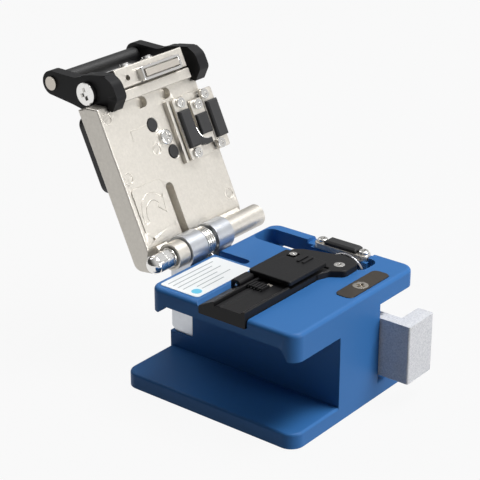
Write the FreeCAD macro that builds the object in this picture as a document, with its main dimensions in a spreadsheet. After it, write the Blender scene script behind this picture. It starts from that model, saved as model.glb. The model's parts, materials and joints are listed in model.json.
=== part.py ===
import FreeCAD, Part
import math
import os

import Sketcher

# Fibre cleaver: a cast two-deck body, a spring-opened lid on a rear hinge, a fibre holder,
# a blade carriage that slides under the deck, and a release lever on the lid.
# Frame: origin on the underside at the middle of the base, X along the hinge and the fibre,
# Y from the operator to the hinge, Z up.  Lengths are millimetres.
# The lid's own frame sits on the hinge axis: X as above, Y up the lid, Z out of its inner face.

doc = FreeCAD.newDocument("fibre_cleaver")
sheet = doc.addObject("Spreadsheet::Sheet", "Sizes")
Vector = FreeCAD.Vector
X_AXIS = Vector(1, 0, 0)
Y_AXIS = Vector(0, 1, 0)
Z_AXIS = Vector(0, 0, 1)


class Size:
    """A length that carries both its number and the sheet expression that gives it."""

    def __init__(self, value, text):
        self.value = value
        self.text = text

    def __add__(self, other):
        other = as_size(other)
        return Size(self.value + other.value, "(" + self.text + " + " + other.text + ")")

    def __radd__(self, other):
        return as_size(other) + self

    def __sub__(self, other):
        other = as_size(other)
        return Size(self.value - other.value, "(" + self.text + " - " + other.text + ")")

    def __rsub__(self, other):
        return as_size(other) - self

    def __mul__(self, factor):
        factor = as_size(factor)
        return Size(self.value * factor.value, "(" + self.text + " * " + factor.text + ")")

    def __rmul__(self, factor):
        return self * factor

    def __truediv__(self, factor):
        factor = as_size(factor)
        return Size(self.value / factor.value, "(" + self.text + " / " + factor.text + ")")

    def __neg__(self):
        return Size(-self.value, "(0 - " + self.text + ")")


def as_size(number):
    if isinstance(number, Size):
        return number
    return Size(float(number), str(float(number)))


sheet_rows = []


def cell(alias, number):
    """Write one driving size into the sheet and return it."""
    row = len(sheet_rows) + 1
    sheet.set("A" + str(row), alias)
    sheet.set("B" + str(row), str(number))
    sheet.setAlias("B" + str(row), alias)
    sheet_rows.append(alias)
    return Size(float(number), "Sizes." + alias)


# ---------------------------------------------------------------- driving sizes
half = 0.5
run_clear = cell("running_clearance", 0.3)
fit_clear = cell("fit_clearance", 0.1)
pin_clear = cell("pin_clearance", 0.05)

base_wide = cell("base_width", 61)
base_deep = cell("base_depth", 65)
plate_top = cell("base_plate_top", 5.3)
base_corner = cell("base_corner_radius", 4.5)
foot_proud = cell("foot_pad_proud", 0.4)
foot_thick = cell("foot_pad_thickness", 1.0)
foot_inset = cell("foot_pad_inset", 2.0)
web_left = cell("web_left", -8.6)
web_right = cell("web_right", 11.6)

deck_top = cell("deck_top", 37.2)
deck_back = cell("deck_back", 21.6)
deck_left_under = cell("deck_left_underside", 32.1)
deck_right_under = cell("deck_right_underside", 31.4)
deck_corner = cell("deck_corner_radius", 4.0)
deck_round = cell("deck_edge_round", 1.3)
skirt_wall = cell("skirt_wall", 3.0)
skirt_front = cell("skirt_front_bottom", 28.4)
skirt_back = cell("skirt_back_bottom", 29.4)
arch_front = cell("arch_front", -27.2)
arch_back = cell("arch_back", 15.7)

hinge_y = cell("hinge_from_middle", 27.0)
hinge_z = cell("hinge_height", 39.2)
shaft_r = cell("hinge_shaft_radius", 2.0)
barrel_r = cell("bracket_barrel_radius", 5.1)
left_knuckle_r = cell("left_knuckle_radius", 4.25)
right_knuckle_r = cell("right_knuckle_radius", 3.6)
left_knuckle_x = cell("left_knuckle_end", -14.6)
barrel_left_x = cell("left_barrel_start", -9.4)
barrel_left_end = cell("left_barrel_end", -2.1)
barrel_right_x = cell("right_barrel_start", 3.2)
barrel_right_end = cell("right_barrel_end", 10.5)
right_knuckle_end = cell("right_knuckle_end", 27.9)
nut_start = cell("nut_stack_start", -14.3)
lock_nut_long = cell("lock_nut_height", 3.2)
acorn_long = cell("acorn_nut_height", 5.6)
nut_r = cell("nut_corner_radius", 3.3)
washer_thick = cell("nut_washer_thickness", 1.0)

notch_floor = cell("rear_notch_floor", 10.5)
notch_front = cell("rear_notch_front", 23.5)
pedestal_top = cell("pedestal_top", 31.0)
bracket_inset = cell("bracket_inset", 0.6)
bracket_top = cell("bracket_block_top", 32.9)

label_left = cell("label_left", -28.0)
label_right = cell("label_right", -2.3)
label_front = cell("label_front", 4.9)
label_back = cell("label_back", 19.5)
label_thick = cell("label_thickness", 0.15)

channel_front = cell("channel_front", -15.3)
channel_back = cell("channel_back", 2.4)
channel_floor = cell("channel_floor", 34.4)
channel_end = cell("channel_end", 12.4)
channel_bevel = cell("channel_bevel", 1.3)

spring_slot_left = cell("spring_slot_left", -1.1)
spring_slot_right = cell("spring_slot_right", 2.2)
spring_slot_front = cell("spring_slot_front", 8.6)
spring_slot_deep = cell("spring_slot_depth", 3.0)

recess_left = cell("recess_left", 16.7)
recess_right = cell("recess_right", 26.1)
recess_front = cell("recess_front", -22.0)
recess_back = cell("recess_back", 20.4)
recess_deep = cell("recess_depth", 4.7)
recess_corner = cell("recess_corner_radius", 3.0)
slot_left = cell("blade_slot_left", 17.2)
slot_right = cell("blade_slot_right", 25.5)
slot_margin = cell("blade_slot_end_margin", 0.6)
ledge_left = cell("clamp_ledge_left", 24.4)
ledge_top = cell("clamp_ledge_top", 36.0)
rim_notch_front = cell("rim_notch_front", -18.0)
rim_notch_back = cell("rim_notch_back", 5.0)
ledge_front = cell("clamp_ledge_front", -18.4)
ledge_back = cell("clamp_ledge_back", 2.6)

striker_left = cell("striker_left", -1.0)
striker_right = cell("striker_right", 20.0)
striker_front = cell("striker_front", -30.4)
striker_back = cell("striker_back", -24.4)
striker_thick = cell("striker_thickness", 1.2)
striker_proud = cell("striker_proud", 0.2)
striker_screw_x = cell("striker_screw_x", 8.3)
striker_head_r = cell("striker_screw_head_radius", 2.4)
striker_shank_r = cell("striker_screw_shank_radius", 1.1)

clamp_x = cell("clamp_line_x", 26.8)
lower_pad_wide = cell("lower_pad_width", 4.2)
lower_pad_front = cell("lower_pad_front", -14.0)
lower_pad_back = cell("lower_pad_back", -2.3)
lower_pad_top = cell("lower_pad_top", 39.4)
lower_bracket_top = cell("lower_bracket_top", 37.9)
lower_bracket_wide = cell("lower_bracket_width", 4.6)
lower_screw_front = cell("lower_screw_front", -15.8)
lower_screw_back = cell("lower_screw_back", -0.4)
small_head_r = cell("small_screw_head_radius", 1.65)
small_head_high = cell("small_screw_head_height", 1.1)
small_shank_r = cell("small_screw_shank_radius", 0.8)

holder_front_x = cell("holder_left", -31.0)
holder_front_y = cell("holder_front", -15.0)
holder_back_y = cell("holder_back", 2.1)
bed_thick = cell("holder_bed_thickness", 4.4)
rim_proud = cell("holder_rim_proud", 0.8)
holder_bed = channel_floor + bed_thick
holder_rim = holder_bed + rim_proud
holder_shoulder = channel_floor + bed_thick * 0.55
holder_pin_y = cell("holder_pin_y", -0.2)
pin_drop = cell("holder_pin_drop", 0.3)
holder_pin_z = holder_bed - pin_drop
holder_pin_r = cell("holder_pin_radius", 0.7)
holder_barrel_r = cell("holder_barrel_radius", 1.7)
holder_block_x = cell("holder_hinge_block_left", -16.8)
cover_left = cell("cover_left", -9.7)
cover_right = cell("cover_right", 9.0)
cover_front = cell("cover_front", -14.8)
cover_gap = cell("cover_gap", 1.1)
cover_thick = cell("cover_thickness", 1.3)
window_floor = cell("cover_window_floor", 0.4)
cover_under = holder_bed + cover_gap
cover_top = cover_under + cover_thick
fibre_y = cell("fibre_line_y", -6.4)
head_top = cell("holder_head_top", 39.3)

blade_x = cell("blade_x", 20.9)
blade_r = cell("blade_radius", 7.3)
blade_thick = cell("blade_thickness", 1.0)
blade_y = cell("blade_rest_y", -13.4)
blade_z = cell("blade_height", 32.0)
axle_r = cell("blade_axle_radius", 1.4)

push_left = cell("push_plate_left", 11.9)
push_thick = cell("push_plate_thickness", 4.1)
push_head_right = cell("push_head_right", 24.9)
push_front = cell("push_head_front", -42.9)
push_head_deep = cell("push_head_depth", 5.5)
push_bottom = cell("push_plate_bottom", 7.7)
push_top = cell("push_plate_top", 26.7)
push_back = cell("push_arm_back", 1.5)
rail_x = cell("rail_x", 20.9)
rail_wide = cell("rail_width", 7.0)
rail_top = cell("rail_top", 7.3)
rail_end_gap = cell("rail_end_gap", 2.0)
carriage_right = cell("carriage_right", 25.9)
carriage_front = cell("carriage_front", -24.0)
carriage_back = cell("carriage_back", -2.0)
carriage_bottom = cell("carriage_bottom", 5.6)
carriage_top = cell("carriage_top", 14.4)

lid_lean = cell("lid_lean", 25.0)
lid_left = cell("lid_left", -18.7)
lid_right = cell("lid_right", 26.5)
lid_inner = cell("lid_inner_face", -4.0)
lid_outer = cell("lid_outer_face", -12.0)
lid_end = cell("lid_end_inner", 49.2)
lid_end_outer = cell("lid_end_outer", 52.4)
tongue_left = cell("tongue_left", -9.8)
tongue_right = cell("tongue_right", 23.9)
tongue_end = cell("tongue_end", 58.2)
tongue_inner = cell("tongue_inner_face", -6.4)
rib_low = cell("rib_low", 48.6)
rib_high = cell("rib_high", 52.0)
rib_proud = cell("rib_proud", 2.5)
rib_right = cell("rib_right", 22.4)
rib_left = cell("rib_left", -9.0)
lid_slot_x = cell("lid_slot_x", -0.7)
lid_slot_wide = cell("lid_slot_width", 3.3)
lid_slot_top = cell("lid_slot_top", 20.7)
lid_slot_deep = cell("lid_slot_depth", 3.2)
panel_left = cell("panel_left", -17.0)
panel_right = cell("panel_right", -3.6)
panel_low = cell("panel_low", 8.4)
panel_high = cell("panel_high", 23.0)
panel_proud = cell("panel_proud", 0.35)

grip_low = cell("grip_low", 23.7)
grip_high = cell("grip_high", 48.6)
grip_left = cell("grip_left", -17.8)
grip_right = cell("grip_right", 25.6)
grip_thick = cell("grip_thickness", 3.3)

pivot_u = cell("lever_pivot_up", 54.8)
pivot_w = cell("lever_pivot_out", -10.0)
pivot_head_r = cell("lever_screw_head_radius", 3.6)
pivot_shank_r = cell("lever_screw_shank_radius", 1.8)
lobe_r = cell("lever_lobe_radius", 5.6)
lever_left = cell("lever_left", -14.0)
lever_thick = cell("lever_plate_thickness", 3.8)
lever_right = cell("lever_right_plate", 24.3)
grip_bar_u = cell("grip_bar_up", 61.4)
grip_bar_w = cell("grip_bar_out", -24.0)
grip_bar_r = cell("grip_bar_radius", 2.5)
grip_boss_r = cell("grip_boss_radius", 3.9)
cam_out = cell("cam_reach", 1.6)

magnet_bracket_left = cell("magnet_bracket_left", -9.4)
magnet_bracket_right = cell("magnet_bracket_right", 21.8)
magnet_bracket_low = cell("magnet_bracket_low", 52.5)
magnet_bracket_high = cell("magnet_bracket_high", 58.8)
magnet_bracket_face = cell("magnet_bracket_face", -1.0)
frame_left = cell("magnet_frame_left", -0.2)
frame_right = cell("magnet_frame_right", 17.6)
frame_low = cell("magnet_frame_low", 52.6)
frame_high = cell("magnet_frame_high", 57.0)
frame_wall = cell("magnet_frame_wall", 0.8)
frame_face = cell("magnet_frame_face", 1.2)

upper_pad_face = cell("upper_pad_face", -0.5)
carrier_face = cell("clamp_carrier_face", -1.9)
carrier_thick = cell("clamp_carrier_thickness", 0.9)
left_clamp_x = cell("left_clamp_x", 13.7)
upper_pad_wide = cell("upper_pad_width", 5.0)
upper_pad_low = cell("upper_pad_low", 27.8)
upper_pad_high = cell("upper_pad_high", 39.9)
carrier_low = cell("clamp_carrier_low", 24.2)
carrier_high = cell("clamp_carrier_high", 44.0)
upper_screw_low = cell("upper_screw_low", 25.8)
upper_screw_high = cell("upper_screw_high", 42.3)
clamp_block_face = cell("clamp_block_face", -3.1)
anvil_low = cell("anvil_low", 30.4)
anvil_high = cell("anvil_high", 37.0)
anvil_wide = cell("anvil_width", 5.6)
anvil_face = cell("anvil_face", -0.9)
anvil_screw_u = cell("anvil_screw_up", 39.9)
spring_r = cell("clamp_spring_radius", 1.3)
spring_wire = cell("clamp_spring_wire", 0.45)
spring_seat = cell("clamp_spring_seat", -7.4)
stop_r = cell("stop_radius", 2.0)
stop_face = cell("stop_face", -3.85)

half_wide = base_wide * half
half_deep = base_deep * half
doc.recompute()


# ---------------------------------------------------------------- building helpers
def bind_place(thing, x, y, z):
    thing.setExpression(".Placement.Base.x", as_size(x).text)
    thing.setExpression(".Placement.Base.y", as_size(y).text)
    thing.setExpression(".Placement.Base.z", as_size(z).text)


def box(x_span, y_span, z_span):
    """A block between two limits along each axis."""
    block = doc.addObject("Part::Box", "Block")
    block.setExpression("Length", as_size(x_span[1] - x_span[0]).text)
    block.setExpression("Width", as_size(y_span[1] - y_span[0]).text)
    block.setExpression("Height", as_size(z_span[1] - z_span[0]).text)
    bind_place(block, x_span[0], y_span[0], z_span[0])
    return block


TURNS = {
    "x": FreeCAD.Rotation(Y_AXIS, 90),
    "y": FreeCAD.Rotation(X_AXIS, -90),
    "z": FreeCAD.Rotation(Z_AXIS, 0),
}


def place_round(thing, axis, span, across):
    """Lay a round primitive along an axis, from span[0], with its centre line at across."""
    thing.Placement = FreeCAD.Placement(Vector(), TURNS[axis])
    if axis == "x":
        bind_place(thing, span[0], across[0], across[1])
    elif axis == "y":
        bind_place(thing, across[0], span[0], across[1])
    else:
        bind_place(thing, across[0], across[1], span[0])


def rod(axis, span, across, radius):
    cylinder = doc.addObject("Part::Cylinder", "Rod")
    cylinder.setExpression("Radius", as_size(radius).text)
    cylinder.setExpression("Height", as_size(span[1] - span[0]).text)
    place_round(cylinder, axis, span, across)
    return cylinder


def cone(axis, span, across, radius_start, radius_end):
    taper = doc.addObject("Part::Cone", "Taper")
    taper.setExpression("Radius1", as_size(radius_start).text)
    taper.setExpression("Radius2", as_size(radius_end).text)
    taper.setExpression("Height", as_size(span[1] - span[0]).text)
    place_round(taper, axis, span, across)
    return taper


def prism(axis, span, across, corner_radius, sides):
    """A regular bar, such as a hexagon nut."""
    bar = doc.addObject("Part::Prism", "Prism")
    bar.Polygon = sides
    bar.setExpression("Circumradius", as_size(corner_radius).text)
    bar.setExpression("Height", as_size(span[1] - span[0]).text)
    place_round(bar, axis, span, across)
    return bar


def join(*pieces):
    union = doc.addObject("Part::MultiFuse", "Union")
    union.Shapes = list(pieces)
    union.Refine = True
    return union


def group(*pieces):
    """Several separate solids kept in one node."""
    together = doc.addObject("Part::Compound", "Group")
    together.Links = list(pieces)
    return together


def cut(base, *tools):
    difference = doc.addObject("Part::Cut", "Difference")
    difference.Base = base
    difference.Tool = tools[0] if len(tools) == 1 else join(*tools)
    difference.Refine = True
    return difference


def soften(base, radius, choose, chamfer=False):
    """Round or chamfer the edges that the chooser accepts."""
    doc.recompute()
    kind = "Part::Chamfer" if chamfer else "Part::Fillet"
    softened = doc.addObject(kind, "Softened")
    softened.Base = base
    amount = as_size(radius).value
    chosen = []
    for number, edge in enumerate(base.Shape.Edges, start=1):
        if choose(edge):
            chosen.append((number, amount, amount))
    softened.Edges = chosen
    return softened


def along(edge, direction):
    """True for a straight edge that runs along a direction."""
    if edge.Curve.TypeId != "Part::GeomLine":
        return False
    return abs(abs(edge.Curve.Direction.dot(direction)) - 1) < 1e-6


def level(edge, height):
    """True for an edge that lies flat at a height."""
    limits = edge.BoundBox
    return abs(limits.ZMin - height) < 1e-6 and abs(limits.ZMax - height) < 1e-6


def rounded_block(x_span, y_span, z_span, radius):
    """A block with its four upright edges rounded."""
    return soften(box(x_span, y_span, z_span), radius, lambda edge: along(edge, Z_AXIS))


def outline_edges(corners):
    """Straight sides with a tangent arc at each corner that has a radius.

    Each corner is (first coordinate, second coordinate, radius)."""
    points = [Vector(as_size(c[0]).value, as_size(c[1]).value, 0) for c in corners]
    radii = [as_size(c[2]).value for c in corners]
    count = len(points)
    starts = []
    arcs = []
    for i in range(count):
        here = points[i]
        before = (points[i - 1] - here).normalize()
        after = (points[(i + 1) % count] - here).normalize()
        if radii[i] <= 0:
            starts.append((here, here))
            arcs.append(None)
            continue
        angle = before.getAngle(after)
        reach = radii[i] / math.tan(angle / 2)
        first = here + before * reach
        last = here + after * reach
        bisector = (before + after).normalize()
        centre = here + bisector * (radii[i] / math.sin(angle / 2))
        middle = centre - bisector * radii[i]
        starts.append((first, last))
        arcs.append(Part.Arc(first, middle, last))
    pieces = []
    for i in range(count):
        if arcs[i] is not None:
            pieces.append(arcs[i])
        here = starts[i][1]
        there = starts[(i + 1) % count][0]
        if (there - here).Length > 1e-7:
            pieces.append(Part.LineSegment(here, there))
    return pieces


def new_body(name):
    shell = doc.addObject("PartDesign::Body", name)
    return shell


def sketch_on(shell, role, offset, pieces):
    """A sketch of the given curves on one of the body's own planes, raised by offset."""
    plane = [f for f in shell.Origin.OriginFeatures if f.Role == role][0]
    drawing = shell.newObject("Sketcher::SketchObject", "Sketch")
    drawing.AttachmentSupport = [(plane, "")]
    drawing.MapMode = "FlatFace"
    drawing.setExpression(".AttachmentOffset.Base.z", as_size(offset).text)
    drawing.addGeometry(pieces, False)
    return drawing


def pad(shell, role, start, length, pieces):
    feature = shell.newObject("PartDesign::Pad", "Pad")
    feature.Profile = sketch_on(shell, role, start, pieces)
    feature.setExpression("Length", as_size(length).text)
    doc.recompute()
    return feature


def body_fillet(shell, radius, choose):
    tip = shell.Tip
    names = []
    for number, edge in enumerate(tip.Shape.Edges, start=1):
        if choose(edge):
            names.append("Edge" + str(number))
    feature = shell.newObject("PartDesign::Fillet", "Fillet")
    feature.Base = (tip, names)
    feature.setExpression("Radius", as_size(radius).text)
    doc.recompute()
    return feature


def rectangle(a_span, b_span, radius=0):
    corners = [(a_span[0], b_span[0], radius), (a_span[1], b_span[0], radius),
               (a_span[1], b_span[1], radius), (a_span[0], b_span[1], radius)]
    return outline_edges(corners)


def recessed_cross(head, axis, span, across, reach):
    """Cut a cross drive recess into a screw head; reach is its half width."""
    low = across[0] - reach
    high = across[0] + reach
    thin = reach * 0.3
    if axis == "z":
        bar_a = box((low, high), (across[1] - thin, across[1] + thin), span)
        bar_b = box((across[0] - thin, across[0] + thin),
                    (across[1] - reach, across[1] + reach), span)
    elif axis == "x":
        bar_a = box(span, (low, high), (across[1] - thin, across[1] + thin))
        bar_b = box(span, (across[0] - thin, across[0] + thin),
                    (across[1] - reach, across[1] + reach))
    else:
        bar_a = box((low, high), span, (across[1] - thin, across[1] + thin))
        bar_b = box((across[0] - thin, across[0] + thin), span,
                    (across[1] - reach, across[1] + reach))
    return cut(head, bar_a, bar_b)


def pan_screw(x, y, seat, head_radius, head_height, shank_radius, shank_long):
    """A cross-drive screw standing along Z, its head above seat."""
    head = rod("z", (seat, seat + head_height), (x, y), head_radius)
    crown = as_size(seat + head_height).value
    head = soften(head, head_height * half, lambda edge: level(edge, crown))
    shank = rod("z", (seat - shank_long, seat), (x, y), shank_radius)
    screw = join(head, shank)
    top = (seat + head_height * half, seat + head_height * 2)
    return recessed_cross(screw, "z", top, (x, y), head_radius * 0.62)


PARTS = []


def node(name, thing, in_lid=False):
    """Name a finished sub-part, put it in the body's or the lid's frame and list it."""
    if in_lid and thing.TypeId in ("Part::Box", "Part::Cylinder"):
        thing = group(thing)
    thing.Label = name
    if in_lid:
        turn = FreeCAD.Rotation(X_AXIS, 90 - lid_lean.value)
        thing.Placement = FreeCAD.Placement(Vector(0, hinge_y.value, hinge_z.value), turn)
        thing.setExpression(".Placement.Base.y", hinge_y.text)
        thing.setExpression(".Placement.Base.z", hinge_z.text)
        thing.setExpression(".Placement.Rotation.Angle", "90 - " + lid_lean.text)
    PARTS.append((name, thing))
    return thing


# ---------------------------------------------------------------- housing
def make_housing():
    """The one casting: base plate, upright web and overhanging deck."""
    shell = new_body("HousingBody")
    plate = rectangle((-half_wide, half_wide), (-half_deep, half_deep), base_corner)
    pad(shell, "XY_Plane", foot_proud, plate_top - foot_proud, plate)
    body_fillet(shell, 0.8, lambda edge: level(edge, plate_top.value))
    web = rectangle((web_left, web_right), (-half_deep, half_deep))
    pad(shell, "XY_Plane", plate_top - 1, pedestal_top - plate_top + 1, web)
    deck = rectangle((-half_wide, half_wide), (-half_deep, deck_back), deck_corner)
    pad(shell, "XY_Plane", deck_left_under, deck_top - deck_left_under, deck)
    body_fillet(shell, deck_round, lambda edge: level(edge, deck_top.value))
    core = rectangle((web_left, web_right), (-half_deep, deck_back))
    pad(shell, "XY_Plane", pedestal_top - 1, deck_left_under - pedestal_top + 2, core)
    # The right overhang is thicker than the left one; the left one has a wall at its front
    # edge, at its back edge and, as an arch, at its side.
    skirts = new_body("SkirtBody")
    pad(skirts, "XY_Plane", deck_left_under, 1,
        rectangle((-half_wide, half_wide), (-half_deep, deck_back)))
    pad(skirts, "XY_Plane", deck_right_under, deck_left_under - deck_right_under + 1,
        rectangle((web_right - 1, half_wide), (-half_deep, deck_back)))
    pad(skirts, "XY_Plane", skirt_front, deck_left_under - skirt_front + 1,
        rectangle((-half_wide, web_left), (-half_deep, skirt_wall - half_deep)))
    pad(skirts, "XY_Plane", skirt_back, deck_left_under - skirt_back + 1,
        rectangle((-half_wide, web_left), (deck_back - skirt_wall, deck_back)))
    bend = 2.4
    arch = outline_edges([
        (-half_deep, deck_left_under + 1, 0),
        (-half_deep, skirt_front, 0),
        (arch_front - bend, skirt_front, bend * 0.6),
        (arch_front, deck_left_under, bend * 0.6),
        (arch_back, deck_left_under, bend * 0.6),
        (arch_back + bend, skirt_back, bend * 0.6),
        (deck_back, skirt_back, 0),
        (deck_back, deck_left_under + 1, 0)])
    pad(skirts, "YZ_Plane", -half_wide, skirt_wall, arch)
    rounded = doc.addObject("Part::Common", "RoundedSkirts")
    rounded.Base = skirts
    rounded.Tool = rounded_block((-half_wide, half_wide), (-half_deep, deck_back),
                                 (skirt_front, deck_top), deck_corner)
    return join(shell, rounded)


def housing_cuts():
    """Everything that is milled out of the casting."""
    top = deck_top + 1
    cuts = []
    # Rear notch for the hinge bracket, with a flat floor.
    cuts.append(box((web_left - 1, web_right + 1), (notch_front, half_deep + 1),
                    (notch_floor, deck_top)))
    # Holder channel, open at the left, with a broad bevel along its back edge.
    channel = box((-half_wide - 1, channel_end), (channel_front, channel_back),
                  (channel_floor, top))
    cuts.append(channel)
    bevel = new_body("BevelBody")
    pad(bevel, "YZ_Plane", -half_wide - 1, channel_end + half_wide + 1, outline_edges([
        (channel_back - 1, deck_top - channel_bevel, 0),
        (channel_back, deck_top - channel_bevel, 0),
        (channel_back + channel_bevel, deck_top, 0),
        (channel_back + channel_bevel, top, 0),
        (channel_back - 1, top, 0)]))
    cuts.append(bevel)
    # Slot that the lower leg of the hinge spring lies in.
    slot_r = (spring_slot_right - spring_slot_left) * half
    slot_x = (spring_slot_right + spring_slot_left) * half
    cuts.append(box((spring_slot_left, spring_slot_right),
                    (spring_slot_front + slot_r, deck_back + 1),
                    (deck_top - spring_slot_deep, top)))
    cuts.append(rod("z", (deck_top - spring_slot_deep, top),
                    (slot_x, spring_slot_front + slot_r), slot_r))
    # Blade recess and the through slot in its floor.
    cuts.append(rounded_block((recess_left, recess_right), (recess_front, recess_back),
                              (deck_top - recess_deep, top), recess_corner))
    cuts.append(rounded_block((slot_left, slot_right),
                              (recess_front + slot_margin, recess_back - slot_margin),
                              (deck_right_under - 1, top), recess_corner * 0.8))
    # The right rim is cut away where the lower clamp stands.
    cuts.append(box((recess_right - 1, half_wide + 1), (rim_notch_front, rim_notch_back),
                    (ledge_top, top)))
    # Pocket of the striker plate and the tapped hole of its screw.
    cuts.append(rounded_block((striker_left - fit_clear, striker_right + fit_clear),
                              (striker_front - fit_clear, striker_back + fit_clear),
                              (deck_top + striker_proud - striker_thick, top), 2.0))
    cuts.append(rod("z", (deck_top - 7, top),
                    (striker_screw_x, (striker_front + striker_back) * half), striker_shank_r))
    # Shallow bed of the rubber foot pad.
    cuts.append(rounded_block((foot_inset - half_wide, half_wide - foot_inset),
                              (foot_inset - half_deep, half_deep - foot_inset),
                              (foot_proud - 1, foot_thick), 3.0))
    # Relief under the right overhang, between its end walls.
    cuts.append(rounded_block((web_right, half_wide + 5), (arch_front, arch_back),
                              (deck_right_under - 1, deck_right_under + 1.1), 1.5))
    # Tapped holes of the lower clamp.
    for y in (lower_screw_front, lower_screw_back):
        cuts.append(rod("z", (ledge_top - 3, ledge_top + 1), (clamp_x, y), small_shank_r))
    return cuts


def finish_housing():
    carved = cut(make_housing(), *housing_cuts())
    ledge = box((ledge_left, recess_right + 1), (ledge_front, ledge_back),
                (deck_right_under, ledge_top))
    holes = [rod("z", (ledge_top - 3, ledge_top + 1), (clamp_x, y), small_shank_r)
             for y in (lower_screw_front, lower_screw_back)]
    return node("housing", join(carved, cut(ledge, *holes)))


finish_housing()

node("foot_pad", rounded_block(
    (foot_inset + fit_clear - half_wide, half_wide - foot_inset - fit_clear),
    (foot_inset + fit_clear - half_deep, half_deep - foot_inset - fit_clear),
    (as_size(0), foot_thick), 2.9))

node("deck_label", rounded_block((label_left, label_right), (label_front, label_back),
                                 (deck_top, deck_top + label_thick), 1.2))

striker_y = (striker_front + striker_back) * half
striker_top = deck_top + striker_proud
node("striker_plate", cut(
    rounded_block((striker_left, striker_right), (striker_front, striker_back),
                  (striker_top - striker_thick, striker_top), 1.9),
    cone("z", (striker_top - striker_thick, striker_top), (striker_screw_x, striker_y),
         striker_shank_r + fit_clear, striker_head_r + fit_clear)))


def countersunk_screw():
    head = cone("z", (striker_top - striker_thick, striker_top),
                (striker_screw_x, striker_y), striker_shank_r, striker_head_r)
    shank = rod("z", (deck_top - 6, striker_top - striker_thick),
                (striker_screw_x, striker_y), striker_shank_r)
    return recessed_cross(join(head, shank), "z", (striker_top - 0.7, striker_top + 1),
                          (striker_screw_x, striker_y), striker_head_r * 0.6)


node("striker_screw", countersunk_screw())


# ---------------------------------------------------------------- hinge
bolt_x_left = cell("bracket_bolt_left_x", -2.6)
bolt_x_right = cell("bracket_bolt_right_x", 5.6)
bolt_z = cell("bracket_bolt_height", 18.5)
bracket_bolts = ((bolt_x_left, bolt_z), (bolt_x_right, bolt_z))
bolt_head_r = cell("bracket_bolt_head_radius", 1.9)
bolt_shank_r = cell("bracket_bolt_shank_radius", 1.0)
bolt_seat = half_deep - 3.0


def make_hinge_bracket():
    """A block set in the rear notch, with two barrels that carry the hinge shaft."""
    block = box((web_left + bracket_inset, web_right - bracket_inset),
                (notch_front + fit_clear, half_deep - fit_clear), (notch_floor, bracket_top))
    block = soften(block, 1.6, lambda edge: along(edge, X_AXIS)
                   and edge.BoundBox.YMax > half_deep.value - 1, chamfer=True)
    pieces = [block]
    for start, end in ((barrel_left_x, barrel_left_end), (barrel_right_x, barrel_right_end)):
        pieces.append(rod("x", (start, end), (hinge_y, hinge_z), barrel_r))
        pieces.append(box((start, end), (hinge_y - barrel_r * 0.75, hinge_y + barrel_r * 0.4),
                          (bracket_top - 1, hinge_z)))
    bores = [rod("x", (barrel_left_x - 1, barrel_right_end + 1), (hinge_y, hinge_z),
                 shaft_r + pin_clear)]
    for place in bracket_bolts:
        bores.append(rod("y", (bolt_seat, half_deep + 1), place, bolt_head_r + fit_clear))
        bores.append(rod("y", (notch_front, half_deep), place, bolt_shank_r + pin_clear))
    return cut(join(*pieces), *bores)


node("hinge_bracket", make_hinge_bracket())

shaft_end = right_knuckle_end - 1.6
shaft_start = nut_start - washer_thick - lock_nut_long - acorn_long * 0.6
node("hinge_shaft", rod("x", (shaft_start, shaft_end), (hinge_y, hinge_z), shaft_r))


def hinge_nut(start, end, crowned):
    """A hexagon nut on the shaft; the outer one is closed by a dome."""
    blank = prism("x", (start, end), (hinge_y, hinge_z), nut_r, 6)
    cones = doc.addObject("Part::Common", "NutBlank")
    cones.Base = blank
    cones.Tool = rod("x", (start, end), (hinge_y, hinge_z), nut_r * 0.95)
    if not crowned:
        return cut(cones, rod("x", (start - 1, end + 1), (hinge_y, hinge_z),
                              shaft_r + pin_clear))
    dome = doc.addObject("Part::Sphere", "Dome")
    dome.setExpression("Radius", (nut_r * 0.86).text)
    bind_place(dome, start + 0.4, hinge_y, hinge_z)
    both = join(cones, dome)
    bore = rod("x", (shaft_start - pin_clear, end + 1), (hinge_y, hinge_z),
               shaft_r + pin_clear)
    return cut(both, bore)


washer_end = nut_start
lock_start = washer_end - washer_thick - lock_nut_long
node("hinge_washer", cut(
    rod("x", (washer_end - washer_thick, washer_end), (hinge_y, hinge_z), nut_r * 0.95),
    rod("x", (washer_end - washer_thick - 1, washer_end + 1), (hinge_y, hinge_z),
        shaft_r + pin_clear)))
node("lock_nut", hinge_nut(lock_start, washer_end - washer_thick, False))
node("acorn_nut", hinge_nut(lock_start - acorn_long * 0.55, lock_start - 0.1, True))


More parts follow.
